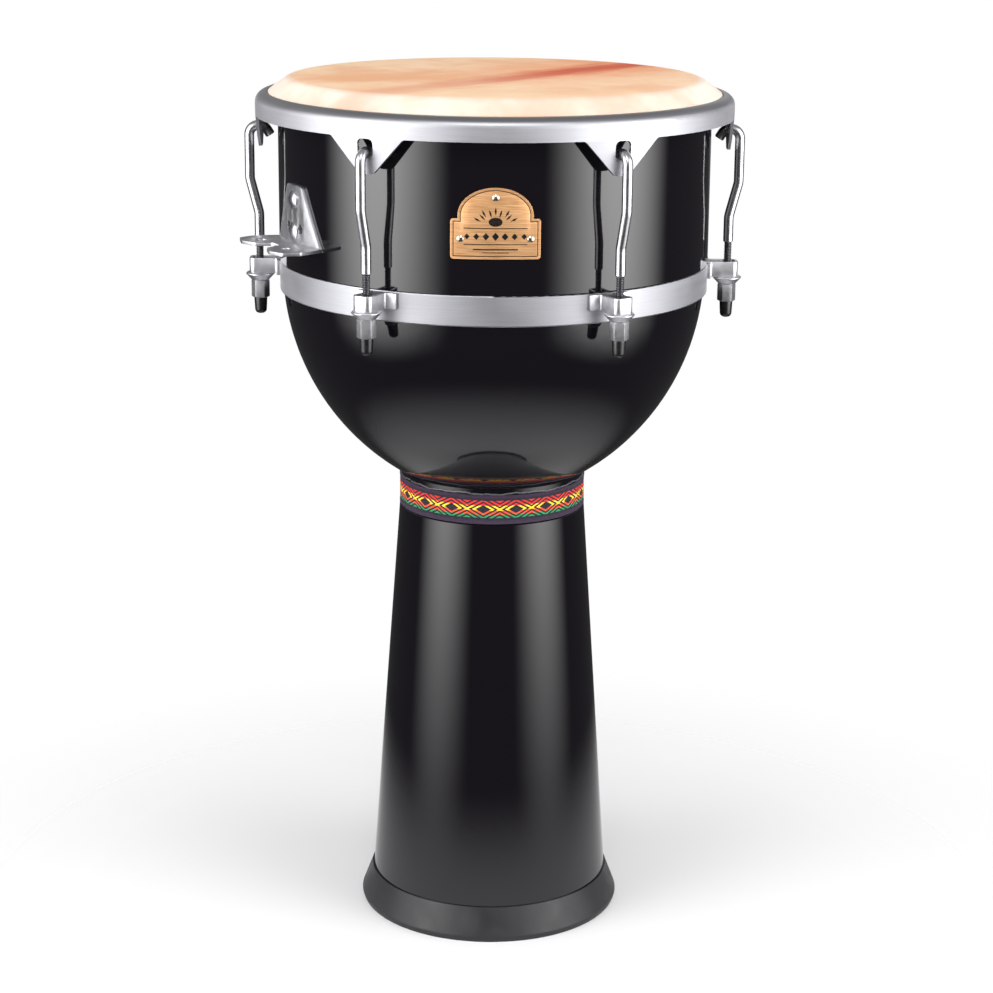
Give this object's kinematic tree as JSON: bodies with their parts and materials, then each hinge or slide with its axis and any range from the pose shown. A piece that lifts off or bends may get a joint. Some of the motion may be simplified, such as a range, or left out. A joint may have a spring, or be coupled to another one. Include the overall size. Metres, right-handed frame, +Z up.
{
  "type": "djembe",
  "caption": "Goblet hand drum with a glossy laminate shell, a hide head and a steel hoop pulled down by hooked rods and nuts.",
  "frame": {"origin": "floor level on the drum's axis, at the centre of the base ring's underside", "axes": "+Z up along the drum's axis; -Y is the front, with the badge; a lug lies on +X"},
  "size_m": [0.4082, 0.3874, 0.711],
  "materials": {
    "black_laminate": "moulded laminate under black gloss lacquer",
    "sleeve_laminate": "bare laminate tube, sealed",
    "woven_cotton": "woven patterned ribbon, glued on",
    "rubber": "matte moulded black rubber",
    "polished_steel": "bright plated steel, lightly brushed",
    "zinc_steel": "zinc-plated steel",
    "brass": "brushed brass plate, dark ground with raised rim",
    "brass_pin": "round-headed brass pins",
    "goatskin": "scraped natural hide, stretched dry",
    "black_plastic": "soft black moulded cap"
  },
  "bodies": {
    "shell": {"bowl_shell": "black_laminate", "bowl_wall": "black_laminate", "bearing_ring": "black_laminate", "foot_shell": "black_laminate", "neck_sleeve": "sleeve_laminate", "woven_band": "woven_cotton", "base_ring": "rubber", "belly_band": "polished_steel", "lug_bracket_1": "polished_steel", "lug_bracket_2": "polished_steel", "lug_bracket_3": "polished_steel", "lug_bracket_4": "polished_steel", "lug_bracket_5": "polished_steel", "lug_bracket_6": "polished_steel", "badge_plate": "brass", "badge_pins": "brass_pin", "strap_bracket": "polished_steel", "bracket_screws": "zinc_steel", "bracket_washers": "zinc_steel", "bracket_nuts": "zinc_steel", "drum_head": "goatskin", "dish_washer_1": "polished_steel", "dish_washer_2": "polished_steel", "dish_washer_3": "polished_steel", "dish_washer_4": "polished_steel", "dish_washer_5": "polished_steel", "dish_washer_6": "polished_steel"},
    "crown": {"tuning_hoop": "polished_steel", "flesh_hoop": "zinc_steel", "hook_rod_1": "polished_steel", "hook_rod_2": "polished_steel", "hook_rod_3": "polished_steel", "hook_rod_4": "polished_steel", "hook_rod_5": "polished_steel", "hook_rod_6": "polished_steel"},
    "nut_1": {"tuning_nut_1": "polished_steel", "end_cap_1": "black_plastic"},
    "nut_2": {"tuning_nut_2": "polished_steel", "end_cap_2": "black_plastic"},
    "nut_3": {"tuning_nut_3": "polished_steel", "end_cap_3": "black_plastic"},
    "nut_4": {"tuning_nut_4": "polished_steel", "end_cap_4": "black_plastic"},
    "nut_5": {"tuning_nut_5": "polished_steel", "end_cap_5": "black_plastic"},
    "nut_6": {"tuning_nut_6": "polished_steel", "end_cap_6": "black_plastic"}
  },
  "joints": [
    {"name": "crown_pull", "type": "slide", "parent": "shell", "child": "crown", "axis": [0, 0, -1], "range_m": [-0.0025, 0.0038]},
    {"name": "nut_1_turn", "type": "hinge", "parent": "shell", "child": "nut_1", "pos_m": [0.1925, 0, 0.5358], "axis": [0, 0, 1], "range_deg": [-720, 1080]},
    {"name": "nut_2_turn", "type": "hinge", "parent": "shell", "child": "nut_2", "pos_m": [0.09625, 0.16671, 0.5358], "axis": [0, 0, 1], "range_deg": [-720, 1080]},
    {"name": "nut_3_turn", "type": "hinge", "parent": "shell", "child": "nut_3", "pos_m": [-0.09625, 0.16671, 0.5358], "axis": [0, 0, 1], "range_deg": [-720, 1080]},
    {"name": "nut_4_turn", "type": "hinge", "parent": "shell", "child": "nut_4", "pos_m": [-0.1925, 0, 0.5358], "axis": [0, 0, 1], "range_deg": [-720, 1080]},
    {"name": "nut_5_turn", "type": "hinge", "parent": "shell", "child": "nut_5", "pos_m": [-0.09625, -0.16671, 0.5358], "axis": [0, 0, 1], "range_deg": [-720, 1080]},
    {"name": "nut_6_turn", "type": "hinge", "parent": "shell", "child": "nut_6", "pos_m": [0.09625, -0.16671, 0.5358], "axis": [0, 0, 1], "range_deg": [-720, 1080]}
  ],
  "couplings": [
    {"joint": "nut_1_turn", "follows": "crown_pull", "rad_per_m": 4947.4},
    {"joint": "nut_2_turn", "follows": "crown_pull", "rad_per_m": 4947.4},
    {"joint": "nut_3_turn", "follows": "crown_pull", "rad_per_m": 4947.4},
    {"joint": "nut_4_turn", "follows": "crown_pull", "rad_per_m": 4947.4},
    {"joint": "nut_5_turn", "follows": "crown_pull", "rad_per_m": 4947.4},
    {"joint": "nut_6_turn", "follows": "crown_pull", "rad_per_m": 4947.4}
  ]
}
